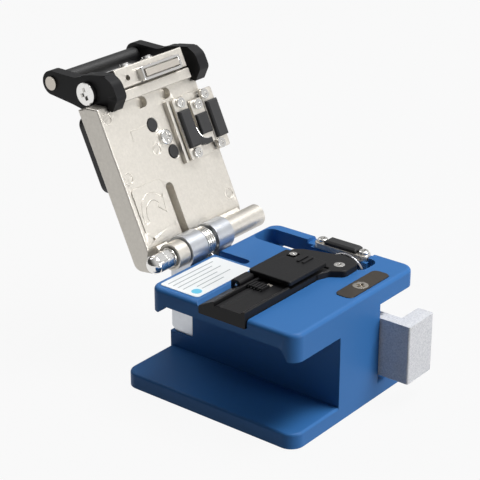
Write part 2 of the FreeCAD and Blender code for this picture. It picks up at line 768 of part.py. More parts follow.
def make_torsion_spring():
    """Close-wound coils about the shaft, one leg in the deck slot, one in the lid slot."""
    wire = 0.42
    coil_r = 4.2
    gap = 0.35
    first = barrel_left_end.value + wire + gap
    last = barrel_right_x.value - wire - gap
    turns = int((last - first) / (2 * wire))
    pitch = (last - first) / turns
    y0 = hinge_y.value
    z0 = hinge_z.value
    rings = []
    for i in range(turns + 1):
        centre = Vector(first + i * pitch, y0, z0)
        rings.append(Part.makeTorus(coil_r, wire, centre, X_AXIS))
    sleeve = Part.makeCylinder(coil_r + 0.25, last - first, Vector(first, y0, z0), X_AXIS)
    sleeve = sleeve.cut(Part.makeCylinder(coil_r - 0.25, last - first,
                                          Vector(first, y0, z0), X_AXIS))
    # The lower leg leaves the right-hand coil and lies along the deck slot.
    leg_z = deck_top.value - spring_slot_deep.value + wire + run_clear.value
    start = Vector(last, y0, z0 - coil_r)
    slot_x = (spring_slot_left.value + spring_slot_right.value) / 2
    turn = Vector(slot_x + 0.5, deck_back.value + 0.6, leg_z)
    end = Vector(slot_x, spring_slot_front.value + 3, leg_z)
    lower = bent_wire([start, turn, end], wire)
    # The upper leg leaves the left-hand coil and lies in the lid slot.
    lean = math.radians(90 - lid_lean.value)

    def lid_point(x, u, w):
        return Vector(x, y0 + u * math.cos(lean) - w * math.sin(lean),
                      z0 + u * math.sin(lean) + w * math.cos(lean))

    w_leg = lid_inner.value - lid_slot_deep.value + wire + run_clear.value
    upper = bent_wire([lid_point(first, 0.5, -coil_r), lid_point(first + 0.2, 7.2, w_leg),
                       lid_point(lid_slot_x.value, 16.5, w_leg)], wire)
    spring = rings[0].fuse(rings[1:] + [sleeve, lower, upper]).removeSplitter()
    item = doc.addObject("Part::Feature", "SpringCoils")
    item.Shape = spring
    return item


def bent_wire(points, radius):
    """A round wire along straight runs, with a ball at each bend."""
    pieces = []
    for a, b in zip(points, points[1:]):
        pieces.append(Part.makeCylinder(radius, (b - a).Length, a, b - a))
    for p in points[1:-1]:
        pieces.append(Part.makeSphere(radius, p))
    return pieces[0].fuse(pieces[1:])


node("torsion_spring", make_torsion_spring())


def socket_screw(axis, seat, direction, across, head_r, head_long, shank_r, shank_long):
    """A socket head cap screw; its head runs from seat along direction (+1 or -1)."""
    def span(start, length, sign):
        if sign > 0:
            return (start, start + length)
        return (start - length, start)
    head = rod(axis, span(seat, head_long, direction), across, head_r)
    shank = rod(axis, span(seat, shank_long, -direction), across, shank_r)
    mouth = seat + direction * (head_long * 0.4)
    drive = prism(axis, span(mouth, head_long, direction), across, head_r * 0.5, 6)
    return cut(join(head, shank), drive)


node("bracket_bolts", group(*[
    socket_screw("y", bolt_seat, 1, (as_size(x), as_size(z)), bolt_head_r, 2.2,
                 bolt_shank_r, bolt_seat - notch_front - fit_clear) for x, z in bracket_bolts]))


# ---------------------------------------------------------------- lower clamp on the rim
bracket_half = lower_bracket_wide * half
pad_half = lower_pad_wide * half
clamp_screws = [pan_screw(clamp_x, y, lower_bracket_top, small_head_r, small_head_high,
                          small_shank_r, lower_bracket_top - ledge_top + 2.6)
                for y in (lower_screw_front, lower_screw_back)]
node("lower_clamp_screws", group(*clamp_screws))
lower_block = rounded_block((clamp_x - bracket_half, clamp_x + bracket_half),
                            (ledge_front + 0.7, ledge_back - 0.7),
                            (ledge_top, lower_bracket_top), 2.0)
node("lower_clamp_bracket", cut(lower_block, *[
    rod("z", (ledge_top - 1, deck_top + 2), (clamp_x, y), small_shank_r + pin_clear)
    for y in (lower_screw_front, lower_screw_back)]))
lower_pad = box((clamp_x - pad_half, clamp_x + pad_half), (lower_pad_front, lower_pad_back),
                (lower_bracket_top, lower_pad_top))
node("lower_clamp_pad", soften(lower_pad, 0.6,
                               lambda edge: level(edge, lower_pad_top.value), chamfer=True))


# ---------------------------------------------------------------- fibre holder
def make_holder_base():
    shell = new_body("HolderBody")
    section = outline_edges([
        (holder_front_y, channel_floor, 0.2),
        (holder_back_y, channel_floor, 0.2),
        (holder_back_y, holder_shoulder, 0.3),
        (holder_back_y - 5.3, holder_rim, 0.4),
        (holder_back_y - 5.9, holder_rim, 0.1),
        (holder_back_y - 5.9, holder_bed - 0.5, 0),
        (holder_back_y - 6.6, holder_bed - 0.5, 0),
        (holder_back_y - 6.6, holder_bed, 0.1),
        (fibre_y + 0.35, holder_bed, 0),
        (fibre_y, holder_bed - 0.3, 0),
        (fibre_y - 0.35, holder_bed, 0),
        (holder_front_y + 1.9, holder_bed, 0.3),
        (holder_front_y + 0.8, holder_rim, 0.3),
        (holder_front_y, holder_rim, 0.3)])
    pad(shell, "YZ_Plane", holder_front_x, cover_right - holder_front_x, section)
    tools = [
        box((cover_left - 0.3, cover_right + 1), (holder_back_y - 4.7, holder_back_y + 1),
            (holder_pin_z - holder_barrel_r - run_clear, cover_top)),
        box((holder_block_x, cover_left), (holder_back_y - 4.7, holder_back_y + 1),
            (holder_shoulder, cover_top)),
        box((cover_left - 0.3, cover_right + 1), (holder_front_y - 1, holder_front_y + 1.9),
            (holder_bed, cover_top)),
        box((-16.0, -12.0), (fibre_y - 2.9, fibre_y + 2.9), (holder_bed - 0.6, cover_top)),
        box((-11.6, -10.2), (fibre_y - 2.8, fibre_y - 1.0), (holder_bed - 0.6, cover_top))]
    return cut(shell, *tools)


node("holder_base", make_holder_base())

comb = box((-15.9, -12.1), (fibre_y - 2.8, fibre_y + 2.8), (holder_bed - 0.6, holder_bed + 0.9))
comb_slots = [box((-17, -11), (fibre_y + k * 1.1 - 0.2, fibre_y + k * 1.1 + 0.2),
                  (holder_bed + 0.2, holder_bed + 2)) for k in (-2, -1, 0, 1, 2)]
node("comb_insert", cut(comb, *comb_slots))
node("holder_magnet", box((-11.5, -10.3), (fibre_y - 2.7, fibre_y - 1.1),
                          (holder_bed - 0.6, holder_bed + 0.2)))

hinge_block = box((holder_block_x, cover_left - run_clear),
                  (holder_pin_y - holder_barrel_r, holder_pin_y + holder_barrel_r),
                  (holder_shoulder, holder_pin_z + holder_barrel_r + 0.2))
hinge_block = soften(hinge_block, 0.9, lambda edge: along(edge, X_AXIS)
                     and edge.BoundBox.ZMin > holder_pin_z.value)
holder_pin_across = (holder_pin_y, holder_pin_z)
node("holder_hinge_block", cut(hinge_block, rod(
    "x", (holder_block_x - 1, cover_left + 1), holder_pin_across, holder_pin_r + pin_clear)))
node("holder_pin", rod("x", (holder_block_x + 0.5, cover_right + 1.5), holder_pin_across,
                       holder_pin_r))


def make_holder_head():
    """The flat nose that reaches over the deck to the left clamp line, with its pin lug."""
    shell = new_body("HolderHeadBody")
    left = cover_right + run_clear
    pad(shell, "XY_Plane", deck_top, head_top - deck_top, outline_edges([
        (left, 1.7, 0.3), (13.8, 1.7, 1.0), (15.9, -1.0, 1.5), (17.7, -7.6, 1.5),
        (19.7, -13.6, 1.5), (18.9, -18.4, 1.2), (16.7, -20.4, 1.2), (10.2, -20.6, 1.8),
        (7.4, holder_front_y - 1.6, 2.2), (3.4, holder_front_y - run_clear, 0),
        (left, holder_front_y - run_clear, 0)]))
    body_fillet(shell, 0.4, lambda edge: level(edge, head_top.value))
    lug = rod("x", (left, left + 1.2), holder_pin_across, 1.4)
    foot = box((left, channel_end - 0.2), (holder_front_y + 0.4, holder_back_y - 0.4),
               (channel_floor, deck_top))
    return cut(join(shell, lug, foot),
               rod("x", (left - 1, left + 2), holder_pin_across, holder_pin_r + pin_clear),
               cone("z", (head_top - 1.0, head_top), (13.0, -16.4), 0.9, 1.85),
               rod("z", (deck_top - 1, head_top), (13.0, -16.4), 0.9))


node("holder_head", make_holder_head())
nose_screw = join(cone("z", (head_top - 0.9, head_top), (13.0, -16.4), 0.85, 1.7),
                  rod("z", (deck_top + 0.1, head_top - 0.9), (13.0, -16.4), 0.85))
node("head_screw", recessed_cross(nose_screw, "z", (head_top - 0.5, head_top + 1),
                                  (as_size(13.0), as_size(-16.4)), as_size(1.0)))


def make_cover():
    """The black cover that presses the fibre into the holder, with its hinge barrel."""
    shell = new_body("CoverBody")
    pad(shell, "XY_Plane", cover_under, cover_top - cover_under,
        rectangle((cover_left, cover_right), (cover_front, holder_pin_y + 0.8), 0.8))
    body_fillet(shell, 0.35, lambda edge: level(edge, cover_top.value))
    barrel = rod("x", (cover_left, cover_right), holder_pin_across, holder_barrel_r)
    whole = join(shell, barrel)
    return cut(whole,
               rod("x", (cover_left - 1, cover_right + 1), holder_pin_across,
                   holder_pin_r + pin_clear),
               rounded_block((4.9, cover_right - 0.5), (-5.2, -2.2),
                             (cover_under + window_floor, cover_top + 1), 0.5))


node("holder_cover", make_cover())
post_x = cell("cover_post_x", 6.9)
post_y = cell("cover_post_y", -3.6)
post_r = cell("cover_post_radius", 0.8)
node("cover_screw", recessed_cross(
    join(rod("z", (cover_under + window_floor, cover_top), (post_x, post_y), post_r),
         rod("z", (cover_top - 0.5, cover_top + 0.3), (post_x, post_y), 1.2)), "z",
    (cover_top, cover_top + 1), (post_x, post_y), as_size(0.8)))
rib_half = cell("cover_rib_half_width", 0.5)
node("cover_ribs", group(*[
    rounded_block((3.4, cover_right - 0.3), (y - rib_half, y + rib_half),
                  (cover_top, cover_top + 0.35), 0.45) for y in (-7.7, -9.6)]))
node("cover_pad", rounded_block((-8.0, 5.0), (fibre_y - 3, fibre_y + 2.2),
                                (holder_bed + 0.3, cover_under), 0.8))


# ---------------------------------------------------------------- blade slide
rail_low = rail_x - rail_wide * half
rail_high = rail_x + rail_wide * half
rail_front = rail_end_gap - half_deep
rail_back = half_deep - rail_end_gap
rail_screw_r = cell("rail_screw_head_radius", 1.5)
rail_screw_y = (-26.0, 0.0, 26.0)
rail_groove = cell("rail_groove_depth", 0.7)
rail_mid = (plate_top + rail_top) * half
rail_bar = box((rail_low, rail_high), (rail_front, rail_back), (plate_top, rail_top))
rail_cuts = [box((rail_low - 1, rail_low + rail_groove), (rail_front - 1, rail_back + 1),
                 (rail_mid - 0.7, rail_mid + 0.7)),
             box((rail_high - rail_groove, rail_high + 1), (rail_front - 1, rail_back + 1),
                 (rail_mid - 0.7, rail_mid + 0.7))]
rail_cuts += [rod("z", (rail_top - 1.6, rail_top + 1), (rail_x, y), rail_screw_r + fit_clear)
              for y in rail_screw_y]
rail_cuts += [rod("z", (plate_top - 1, rail_top), (rail_x, y), small_shank_r + pin_clear)
              for y in rail_screw_y]
node("guide_rail", cut(rail_bar, *rail_cuts))
node("rail_screws", group(*[
    socket_screw("z", rail_top - 1.6, 1, (rail_x, as_size(y)), rail_screw_r, 1.3,
                 small_shank_r, rail_top - 1.6 - plate_top) for y in rail_screw_y]))

carriage_left = push_left + push_thick
carriage = box((carriage_left, carriage_right), (carriage_front, carriage_back),
               (carriage_bottom, carriage_top))
carriage = soften(carriage, 0.8, lambda edge: along(edge, Y_AXIS)
                  and edge.BoundBox.XMin > push_head_right.value)
node("carriage", cut(carriage, box(
    (rail_low - fit_clear, rail_high + fit_clear), (carriage_front - 1, carriage_back + 1),
    (carriage_bottom - 1, rail_top + run_clear))))


def make_push_plate():
    """An L-shaped plate: the pushing face in front and the arm that runs beside the web."""
    shell = new_body("PushPlateBody")
    push_in = push_front + push_head_deep
    pad(shell, "XY_Plane", push_bottom, push_top - push_bottom, outline_edges([
        (push_left, push_front, 0.6), (push_head_right, push_front, 0.6),
        (push_head_right, push_in, 0.6), (push_left + push_thick, push_in, 0.8),
        (push_left + push_thick, push_back, 0.6), (push_left, push_back, 0.6)]))
    corner = outline_edges([
        (push_back - 11, push_top + 1, 0), (push_back - 11, push_top - 5, 2.5),
        (push_back + 1, push_top - 12, 0), (push_back + 1, push_top + 1, 0)])
    pocket_body = new_body("PushCornerBody")
    pad(pocket_body, "YZ_Plane", push_left - 1, push_thick + 2, corner)
    return cut(shell, pocket_body)


arm_screw_places = ((-19.0, 11.5), (-7.0, 11.5))
plate = make_push_plate()
plate_holes = []
arm_screws = []
for y, z in arm_screw_places:
    spot = (as_size(y), as_size(z))
    plate_holes.append(cone("x", (push_left, push_left + 1.2), spot, 2.0, 0.9))
    plate_holes.append(rod("x", (push_left, carriage_left + 1), spot, 0.9))
    screw_head = cone("x", (push_left, push_left + 1.1), spot, 1.85, 0.85)
    screw_body = rod("x", (push_left + 1.1, carriage_left), spot, 0.85)
    arm_screws.append(join(screw_head, screw_body))
node("push_plate", cut(plate, *plate_holes))
node("arm_screws", group(*arm_screws))

hub_half = cell("blade_hub_half_width", 1.2)
cheek_r = cell("blade_cheek_radius", 3.4)
fork_left = blade_x - 3.2
fork_right = blade_x + 2.7
column_top = blade_z - blade_r - 1.2
fork = join(
    box((fork_left, fork_right), (blade_y - 4.6, blade_y + 4.6), (carriage_top, column_top)),
    box((fork_left, blade_x - hub_half - run_clear), (blade_y - cheek_r, blade_y + cheek_r),
        (column_top - 1, blade_z - 1)),
    rod("x", (fork_left, blade_x - hub_half - run_clear), (blade_y, blade_z - 1), cheek_r),
    box((blade_x + hub_half + run_clear, fork_right), (blade_y - cheek_r, blade_y + cheek_r),
        (column_top - 1, blade_z - 1)),
    rod("x", (blade_x + hub_half + run_clear, fork_right), (blade_y, blade_z - 1), cheek_r))
node("blade_fork", cut(fork, rod("x", (fork_left - 1, fork_right + 1), (blade_y, blade_z),
                                 axle_r)))
node("blade_axle", rod("x", (fork_left, fork_right), (blade_y, blade_z), axle_r))
wheel = cut(rod("x", (blade_x - blade_thick * half, blade_x + blade_thick * half),
                (blade_y, blade_z), blade_r),
            rod("x", (blade_x - 2, blade_x + 2), (blade_y, blade_z), 2.0))
node("blade_wheel", soften(wheel, 0.3, lambda edge: edge.BoundBox.ZMax
                           > blade_z.value + blade_r.value - 0.01, chamfer=True))
hub = join(rod("x", (blade_x - hub_half, blade_x - blade_thick * half), (blade_y, blade_z), 3.0),
           rod("x", (blade_x - hub_half, blade_x + hub_half), (blade_y, blade_z), 2.0),
           rod("x", (blade_x + blade_thick * half, blade_x + hub_half), (blade_y, blade_z), 3.0))
node("blade_hub", cut(hub, rod("x", (blade_x - 2, blade_x + 2), (blade_y, blade_z),
                               axle_r + pin_clear)))


# ---------------------------------------------------------------- lid casting
lid_heel = cell("lid_heel", 4.6)
heel_low = cell("lid_heel_low", -3.3)
cove_gap = cell("lid_cove_gap", 0.4)
notch_low = cell("lever_notch_low", 48.4)
lever_gap = cell("lever_side_gap", 0.4)
stop_places = ((1.3, 39.0), (6.3, 28.9))


def lid_bar(start, end, corners):
    """A bar along X whose section is drawn in the lid's own up and out directions."""
    shell = new_body("LidBar")
    pad(shell, "YZ_Plane", start, end - start, outline_edges(corners))
    return shell


def make_lid():
    plate = lid_bar(lid_left, lid_right, [
        (lid_heel, lid_inner, 0.4), (lid_end, lid_inner, 0.5), (lid_end_outer, lid_outer, 1.0),
        (heel_low + 2.2, lid_outer, 3.0), (heel_low, lid_inner - 1.2, 0.6),
        (0, lid_inner - 1.2, 0)])
    plate = soften(plate, 0.5, lambda edge: abs(edge.BoundBox.XMax - edge.BoundBox.XMin) < 1e-6
                   and edge.Length > 3 and edge.Curve.TypeId == "Part::GeomLine")
    tongue = lid_bar(tongue_left, tongue_right, [
        (lid_end - 4, lid_inner - 1, 0), (lid_end, tongue_inner, 0),
        (tongue_end, tongue_inner, 0.8), (tongue_end, lid_outer - 1.4, 3.3),
        (lid_end + 1.6, lid_outer - 1.4, 1.2), (lid_end - 0.3, lid_outer, 0),
        (lid_end - 4, lid_outer + 1, 0)])
    rib = lid_bar(rib_left, rib_right, [
        (rib_low, lid_inner - 1, 0), (rib_low, lid_inner + rib_proud, 0.5),
        (rib_high, lid_inner + rib_proud, 0.5), (rib_high, tongue_inner - 1, 0),
        (rib_low, tongue_inner - 1, 0)])
    cove = rod("x", (lid_left - 1, lid_right + 1), (0, 0), barrel_r + cove_gap)
    plate = cut(plate, cove)
    pieces = [plate, tongue, rib]
    for start, end, radius in (
            (left_knuckle_x, barrel_left_x - run_clear, left_knuckle_r),
            (barrel_right_end + run_clear, right_knuckle_end, right_knuckle_r)):
        arm_end = end
        if end.value > lid_right.value:
            arm_end = lid_right - 1.5
        pieces.append(rod("x", (start, end), (0, 0), radius))
        pieces.append(lid_bar(start, arm_end, [
            (radius * 0.55, radius * -0.75, 0), (lid_heel, lid_inner - 0.3, 0),
            (lid_heel + 1, lid_inner - 3, 0), (heel_low + 2, lid_inner - 3, 0),
            (heel_low + 0.4, lid_inner - 1.5, 0), (radius * -0.6, radius * -0.7, 0),
            (0, radius * -0.3, 0)]))
    whole = join(*pieces)
    tools = []
    # Notches that the lever plates turn in.
    for start, end in ((lever_left - lever_gap, tongue_left),
                       (tongue_right, lid_right + 1)):
        tools.append(lid_bar(start, end, [
            (notch_low - 1, lid_inner + 1, 0), (notch_low - 1, lid_inner - 0.7, 0.5),
            (notch_low, lid_inner - 1.8, 0.5), (notch_low, lid_outer - 1.0, 0),
            (tongue_end + 5, lid_outer - 1.0, 0), (tongue_end + 5, lid_inner + 1, 0)]))
    # Round relief beside the left lever screw.
    tools.append(rod("x", (lid_left - 1, lever_left - lever_gap + 0.1), (pivot_u, pivot_w),
                     pivot_head_r + 0.7))
    # Seats of the two stop pads.
    for x, u in stop_places:
        tools.append(rod("z", (lid_inner - 1.8, lid_inner + 1), (x, u), stop_r + fit_clear))
        tools.append(cone("z", (lid_inner - 0.3, lid_inner + 0.1), (x, u),
                          stop_r + fit_clear, stop_r + 0.5))
    # Bore of the hinge shaft and of the lever pivots.
    bore = shaft_r + pin_clear
    tools.append(rod("x", (left_knuckle_x - 1, left_knuckle_x + 0.6), (0, 0),
                     left_knuckle_r - 0.7))
    tools.append(rod("x", (left_knuckle_x - 1, barrel_left_x), (0, 0), bore))
    tools.append(rod("x", (barrel_right_end, right_knuckle_end - 1.5), (0, 0), bore))
    for start, end in ((tongue_left - 1, tongue_left + 6), (tongue_right - 6, tongue_right + 1)):
        tools.append(rod("x", (start, end), (pivot_u, pivot_w), pivot_shank_r))
    # Slot for the spring leg.
    tools.append(rounded_block((lid_slot_x - lid_slot_wide * half,
                                lid_slot_x + lid_slot_wide * half),
                               (heel_low + 2, lid_slot_top),
                               (lid_inner - lid_slot_deep, lid_inner + 1), 1.6))
    # Two small pockets under the rib, the mould's round marks and the drain hole.
    for x in (0.0, 11.0):
        tools.append(rounded_block((x - 2.4, x + 2.4), (45.0, 48.5),
                                   (lid_inner - 2.2, lid_inner + 1), 1.7))
    for x, u in ((-16.0, 45.6), (-0.4, 31.5), (-15.9, 26.4), (23.5, 9.6)):
        tools.append(rod("z", (lid_inner - 0.15, lid_inner + 1), (x, u), 1.6))
    tools.append(rod("z", (lid_inner - 2, lid_inner + 1), (-14.3, 6.6), 0.5))
    # Spring pockets of the two clamps and of the anvil.
    for x, u in spring_places():
        tools.append(rod("z", (spring_seat, lid_inner + 1), (x, u), spring_r + 0.25))
    # Tapped hole of the lid's own screw.
    tools.append(rod("z", (lid_inner - 4, lid_inner + 1), (4.6, 34.0), 1.2))
    body = cut(whole, *tools)
    panel = rounded_block((panel_left, panel_right), (panel_low, panel_high),
                          (lid_inner - 0.5, lid_inner + panel_proud), 1.2)
    return join(body, panel)


def clamp_screw_places():
    places = []
    for x in (left_clamp_x, clamp_x - 1.6):
        for u in (upper_screw_low, upper_screw_high):
            places.append((x, u))
    return places


def spring_places():
    return clamp_screw_places() + [(blade_x, anvil_screw_u)]


node("lid_casting", make_lid(), in_lid=True)

grip = rounded_block((grip_left, grip_right), (grip_low, grip_high),
                     (lid_outer - grip_thick, lid_outer), 3.0)
grip = soften(grip, 0.9, lambda edge: level(edge, (lid_outer - grip_thick).value))
node("grip_pad", grip, in_lid=True)

node("stop_pads", group(*[rod("z", (lid_inner - 1.8, stop_face), (x, u), stop_r)
                          for x, u in stop_places]), in_lid=True)
lid_screw_head = cell("lid_screw_head_radius", 2.5)
node("lid_screw", pan_screw(4.6, 34.0, lid_inner, lid_screw_head, as_size(1.2),
                            as_size(1.2), as_size(3.8)), in_lid=True)


# ---------------------------------------------------------------- magnet on the lid's end
magnet_block = box((magnet_bracket_left, magnet_bracket_right),
                   (magnet_bracket_low, magnet_bracket_high),
                   (tongue_inner, magnet_bracket_face))
magnet_block = soften(magnet_block, 0.5, lambda edge: level(edge, magnet_bracket_face.value))
magnet_screw_x = (-2.0, 8.2)
block_cuts = [rod("z", (tongue_inner - 1, magnet_bracket_face + 1), (-4.7, 55.2), 0.9)]
for x in magnet_screw_x:
    block_cuts.append(rod("y", (magnet_bracket_high - 1.2, magnet_bracket_high + 1),
                          (x, -3.6), 1.6))
node("magnet_bracket", cut(magnet_block, *block_cuts), in_lid=True)
node("magnet_bracket_screws", group(*[
    recessed_cross(join(rod("y", (magnet_bracket_high - 1.2, magnet_bracket_high + 0.9),
                            (x, -3.6), 1.5),
                        rod("y", (magnet_bracket_high, magnet_bracket_high + 0.3),
                            (x, -3.6), 2.0)), "y",
                   (magnet_bracket_high + 0.4, magnet_bracket_high + 2),
                   (as_size(x), as_size(-3.6)), as_size(1.0))
    for x in magnet_screw_x]), in_lid=True)
node("magnet_frame", cut(
    rounded_block((frame_left, frame_right), (frame_low, frame_high),
                  (magnet_bracket_face, frame_face), 0.8),
    box((frame_left + frame_wall, frame_right - frame_wall),
        (frame_low + frame_wall, frame_high - frame_wall),
        (magnet_bracket_face - 1, frame_face + 1))), in_lid=True)
magnet_gap = cell("magnet_gap", 0.35)
node("holding_magnet", box(
    (frame_left + frame_wall + magnet_gap, frame_right - frame_wall - magnet_gap),
    (frame_low + frame_wall + magnet_gap, frame_high - frame_wall - magnet_gap),
    (magnet_bracket_face, frame_face + 0.3)), in_lid=True)


# ---------------------------------------------------------------- sprung clamps and anvil
carrier_back = carrier_face - carrier_thick
shoulder_r = cell("clamp_shoulder_radius", 0.75)


strip_face = cell("clamp_strip_face", -2.4)


def clamp_set(side, x, block_span, carrier_span, pad_span):
    """The fixed block, the sprung carrier and the rubber pad of one upper clamp."""
    screws = [p for p in clamp_screw_places() if abs(p[0].value - x.value) < 0.01]
    block_holes = screws + ([(blade_x, anvil_screw_u)] if side == "right" else [])
    block = box(block_span, (carrier_low - 0.2, carrier_high + 0.2),
                (lid_inner, clamp_block_face - run_clear))
    if side == "left":
        block = join(block, box((8.7, 9.8), (carrier_low - 0.2, carrier_high + 0.2),
                                (lid_inner, strip_face)))
    node(side + "_clamp_block", cut(block, *[
        rod("z", (lid_inner - 1, carrier_back), p, spring_r + 0.25) for p in block_holes]),
        in_lid=True)
    carrier = rounded_block(carrier_span, (carrier_low, carrier_high),
                            (carrier_back + 0.0, carrier_face), 0.8)
    node(side + "_clamp_carrier", cut(carrier, *[
        rod("z", (carrier_back - 1, carrier_face + 1), p, shoulder_r + 0.2) for p in screws]),
        in_lid=True)
    pad_block = box(pad_span, (upper_pad_low, upper_pad_high), (carrier_face, upper_pad_face))
    node(side + "_clamp_pad", soften(
        pad_block, 0.5, lambda edge: level(edge, upper_pad_face.value), chamfer=True),
        in_lid=True)


right_screw_x = clamp_x - 1.6
half_pad = upper_pad_wide * half
clamp_set("left", left_clamp_x, (9.2, 16.6), (left_clamp_x - 3.0, left_clamp_x + 3.0),
          (left_clamp_x - half_pad, left_clamp_x + half_pad))
clamp_set("right", right_screw_x, (17.2, lid_right), (24.0, clamp_x + 2.8),
          (clamp_x - 2.2, clamp_x + 2.8))


def shoulder_screw(x, u):
    """A shoulder screw whose head keeps a carrier down against its spring."""
    seat = carrier_face + 0.1
    head = rod("z", (seat, seat + small_head_high * 0.8), (x, u), small_head_r)
    shank = rod("z", (spring_seat, seat), (x, u), shoulder_r)
    top = (seat + 0.4, seat + 2)
    return recessed_cross(join(head, shank), "z", top, (x, u), small_head_r * 0.6)


def clamp_coil(x, u):
    """A small compression spring about a shoulder screw, shown as a stack of rings."""
    free = carrier_back.value - spring_seat.value
    turns = 5
    pitch = (free - spring_wire.value) / (turns - 1)
    rings = []
    for i in range(turns):
        centre = Vector(as_size(x).value, as_size(u).value,
                        spring_seat.value + spring_wire.value * half + i * pitch)
        rings.append(Part.makeTorus(spring_r.value - spring_wire.value * half,
                                    spring_wire.value * half, centre, Z_AXIS))
    post = Part.makeCylinder(spring_r.value - spring_wire.value * half + 0.06, free - 0.1,
                             Vector(centre.x, centre.y, spring_seat.value + 0.05), Z_AXIS)
    hole = Part.makeCylinder(spring_r.value - spring_wire.value * half - 0.06, free,
                             Vector(centre.x, centre.y, spring_seat.value), Z_AXIS)
    coil = rings[0].fuse(rings[1:] + [post.cut(hole)])
    item = doc.addObject("Part::Feature", "ClampCoil")
    item.Shape = coil
    return item


node("clamp_shoulder_screws", group(*[shoulder_screw(x, u) for x, u in spring_places()]),
     in_lid=True)
left_springs = [clamp_coil(x, u) for x, u in clamp_screw_places()[:2]]
right_springs = [clamp_coil(x, u) for x, u in clamp_screw_places()[2:]]
node("left_clamp_springs", group(*left_springs), in_lid=True)
node("right_clamp_springs", group(*right_springs), in_lid=True)

anvil_half = anvil_wide * half
anvil_carrier = rounded_block((blade_x - anvil_half, blade_x + anvil_half),
                              (anvil_low - 3.2, anvil_screw_u + 1.9),
                              (carrier_back, carrier_face), 0.8)
node("anvil_carrier", cut(anvil_carrier, rod(
    "z", (carrier_back - 1, carrier_face + 1), (blade_x, anvil_screw_u), shoulder_r + 0.2)),
    in_lid=True)
anvil = box((blade_x - anvil_half + 0.2, blade_x + anvil_half - 0.2), (anvil_low, anvil_high),
            (carrier_face, anvil_face))
node("anvil", soften(anvil, 0.35, lambda edge: level(edge, anvil_face.value), chamfer=True),
     in_lid=True)
node("anvil_spring", clamp_coil(blade_x, anvil_screw_u), in_lid=True)


# ---------------------------------------------------------------- release lever
cam_rim = cell("cam_rim_proud", 0.5)


def make_lever_plate(start):
    """One side plate: grip boss, pivot lobe and the curved cam that pries on the deck."""
    end = start + lever_thick
    plate = lid_bar(start, end, [
        (pivot_u + 3.3, pivot_w + 9.2, 1.2), (pivot_u + 0.2, cam_out - 0.1, 4.0),
        (pivot_u - 4.6, cam_out, 2.0), (pivot_u - 7.9, pivot_w + 7.8, 0.5),
        (pivot_u - 5.5, pivot_w + 4.7, 1.0), (pivot_u - 5.5, pivot_w - 3.0, 3.5),
        (pivot_u - 1.7, pivot_w - 8.2, 6.0), (grip_bar_u - 3.5, grip_bar_w - 1.7, 0),
        (grip_bar_u + 3.3, grip_bar_w + 2.1, 0), (pivot_u + 5.8, pivot_w - 3.6, 4.0),
        (pivot_u + 5.1, pivot_w + 3.0, 4.0)])
    rim_start = start - cam_rim
    if start.value > 0:
        rim_start = start
    cam = lid_bar(rim_start, rim_start + lever_thick + cam_rim, [
        (pivot_u + 3.3, pivot_w + 9.2, 1.2), (pivot_u + 0.2, cam_out - 0.1, 4.0),
        (pivot_u - 4.6, cam_out, 2.0), (pivot_u - 7.9, pivot_w + 7.8, 0.5),
        (pivot_u - 6.7, pivot_w + 6.0, 0), (pivot_u - 3.4, pivot_w + 8.2, 1.5),
        (pivot_u + 2.4, pivot_w + 7.0, 0)])
    lobe = rod("x", (start, end), (pivot_u, pivot_w), lobe_r)
    boss = rod("x", (start, end), (grip_bar_u, grip_bar_w), grip_boss_r)
    return cut(join(plate, cam, lobe, boss),
               rod("x", (start - 1, end + 1), (pivot_u, pivot_w), pivot_shank_r + pin_clear),
               rod("x", (start - 1, end + 1), (grip_bar_u, grip_bar_w), 1.25))


left_plate_end = lever_left + lever_thick
node("lever_plate_left", make_lever_plate(lever_left), in_lid=True)
node("lever_plate_right", make_lever_plate(lever_right), in_lid=True)
bar = rod("x", (left_plate_end, lever_right), (grip_bar_u, grip_bar_w), grip_bar_r)
node("lever_grip_bar", cut(
    bar, rod("x", (left_plate_end - 1, left_plate_end + 6), (grip_bar_u, grip_bar_w), 1.2),
    rod("x", (lever_right - 6, lever_right + 1), (grip_bar_u, grip_bar_w), 1.2)), in_lid=True)
right_plate_end = lever_right + lever_thick
node("grip_bar_screws", group(
    join(rod("x", (lever_left - 0.6, lever_left), (grip_bar_u, grip_bar_w), 2.2),
         rod("x", (lever_left, left_plate_end + 6), (grip_bar_u, grip_bar_w), 1.2)),
    join(rod("x", (right_plate_end, right_plate_end + 0.6), (grip_bar_u, grip_bar_w), 2.2),
         rod("x", (lever_right - 6, right_plate_end), (grip_bar_u, grip_bar_w), 1.2))),
    in_lid=True)


def pivot_screw(head_start, head_end, shank_start, shank_end, drive_span):
    head = rod("x", (head_start, head_end), (pivot_u, pivot_w), pivot_head_r)
    shank = rod("x", (shank_start, shank_end), (pivot_u, pivot_w), pivot_shank_r)
    return recessed_cross(join(head, shank), "x", drive_span, (pivot_u, pivot_w),
                          pivot_head_r * 0.55)


pivot_head = cell("lever_screw_head_height", 1.2)
head_gap = cell("lever_screw_head_gap", 0.2)
left_head = lever_left - head_gap
right_head = right_plate_end + head_gap
node("lever_pivot_screws", group(
    pivot_screw(left_head - pivot_head, left_head, left_head, tongue_left + 6,
                (left_head - pivot_head - 1, left_head - pivot_head * 0.4)),
    pivot_screw(right_head, right_head + pivot_head, tongue_right - 6, right_head,
                (right_head + pivot_head * 0.4, right_head + pivot_head + 1))), in_lid=True)


# ---------------------------------------------------------------- checks and export
doc.recompute()
for item in doc.Objects:
    for state in item.State:
        if state in ("Invalid", "Error"):
            raise RuntimeError("could not rebuild " + item.Name + " " + item.Label)
for name, item in PARTS:
    if item.Shape.isNull() or not item.Shape.isValid() or not item.Shape.Solids:
        raise RuntimeError("not a valid solid: " + name)
os.makedirs("parts", exist_ok=True)
for name, item in PARTS:
    item.Shape.exportStep("parts/" + name + ".step")
print(len(PARTS), "parts written")
